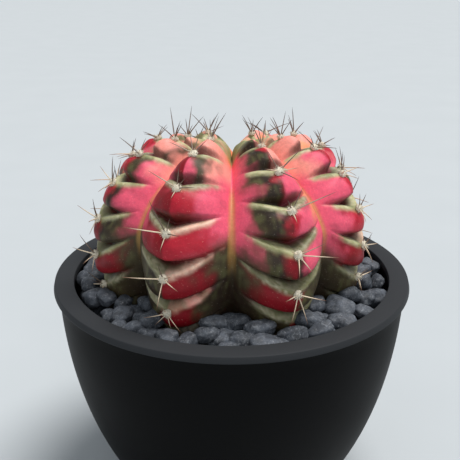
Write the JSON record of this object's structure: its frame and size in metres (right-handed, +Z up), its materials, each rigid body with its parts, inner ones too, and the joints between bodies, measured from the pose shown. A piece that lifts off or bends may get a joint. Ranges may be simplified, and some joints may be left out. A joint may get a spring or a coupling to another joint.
{
  "type": "potted cactus",
  "caption": "Small round ribbed cactus with red, pink and green skin and tufts of spines, growing in a matte black bowl pot topped with dark gravel.",
  "frame": {"origin": "centre of the pot's foot, on the plane it stands on", "axes": "+Z up along the pot's axis; the front of the plant, where two ribs stand either side of a groove, faces -Y; +X to its right seen from the front"},
  "size_m": [0.0908, 0.0908, 0.1038],
  "materials": {
    "pot": "matte black, smooth",
    "soil": "dark loose potting mix",
    "gravel": "rounded slate-black pebbles, matte",
    "stem": "fleshy skin, crimson to pink with pale and dark green patches, waxy",
    "spines": "horny spines, ivory to dark brown, from cream felt pads"
  },
  "bodies": {
    "root": {"pot": "pot", "soil": "soil", "gravel": "gravel", "stem": "stem", "areole_r1_t0": "spines", "areole_r1_t1": "spines", "areole_r1_t2": "spines", "areole_r1_t3": "spines", "areole_r1_t4": "spines", "areole_r1_t5": "spines", "areole_r2_t0": "spines", "areole_r2_t1": "spines", "areole_r2_t2": "spines", "areole_r2_t3": "spines", "areole_r2_t4": "spines", "areole_r3_t0": "spines", "areole_r3_t1": "spines", "areole_r3_t2": "spines", "areole_r3_t3": "spines", "areole_r3_t4": "spines", "areole_r3_t5": "spines", "areole_r4_t0": "spines", "areole_r4_t1": "spines", "areole_r4_t2": "spines", "areole_r4_t3": "spines", "areole_r4_t4": "spines", "areole_r5_t0": "spines", "areole_r5_t1": "spines", "areole_r5_t2": "spines", "areole_r5_t3": "spines", "areole_r5_t4": "spines", "areole_r5_t5": "spines", "areole_r6_t0": "spines", "areole_r6_t1": "spines", "areole_r6_t2": "spines", "areole_r6_t3": "spines", "areole_r6_t4": "spines", "areole_r7_t0": "spines", "areole_r7_t1": "spines", "areole_r7_t2": "spines", "areole_r7_t3": "spines", "areole_r7_t4": "spines", "areole_r7_t5": "spines", "areole_r8_t0": "spines", "areole_r8_t1": "spines", "areole_r8_t2": "spines", "areole_r8_t3": "spines", "areole_r8_t4": "spines", "areole_r8_t5": "spines"}
  },
  "joints": []
}
